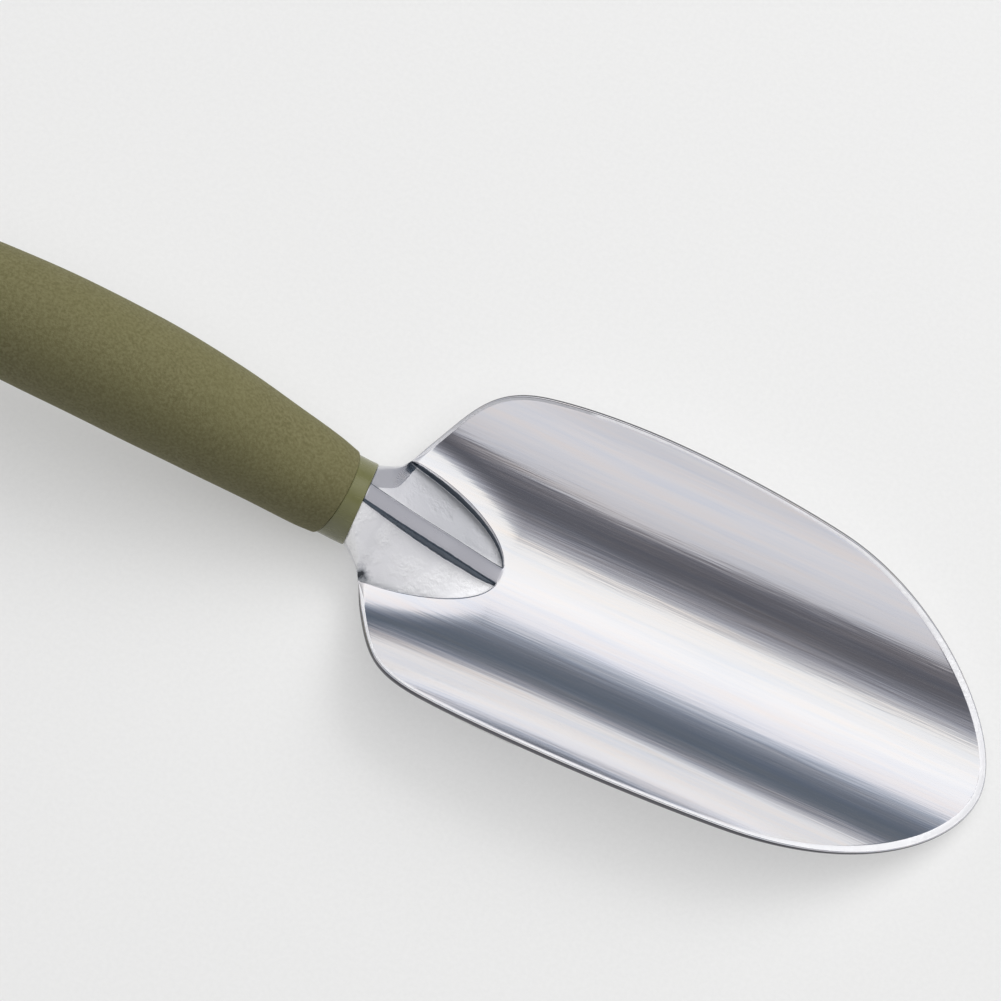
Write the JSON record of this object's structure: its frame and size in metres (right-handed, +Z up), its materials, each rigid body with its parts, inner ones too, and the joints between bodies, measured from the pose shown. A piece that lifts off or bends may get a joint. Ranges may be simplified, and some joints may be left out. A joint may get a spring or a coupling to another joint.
{
  "type": "hand trowel",
  "caption": "Garden hand trowel with a cast aluminium scoop, a ribbed neck and a soft-gripped arched handle with a hanging eye.",
  "frame": {"origin": "middle of the trowel's footprint, on the level of the underside of its neck and collar", "axes": "+X from the handle to the tip of the blade, parallel to the blade's centre line; +Y to the left edge of the blade; +Z up, out of the scoop's hollow"},
  "size_m": [0.2938, 0.0848, 0.0438],
  "materials": {
    "polished_aluminium": "polished with fine lengthwise brushing, matt as cast in the neck pocket",
    "hard_olive_plastic": "glossy moulded",
    "soft_olive_grip": "matt with a fine moulded grain"
  },
  "bodies": {
    "root": {"trowel_head": "polished_aluminium", "handle_core": "hard_olive_plastic", "grip_sleeve": "soft_olive_grip"}
  },
  "joints": []
}
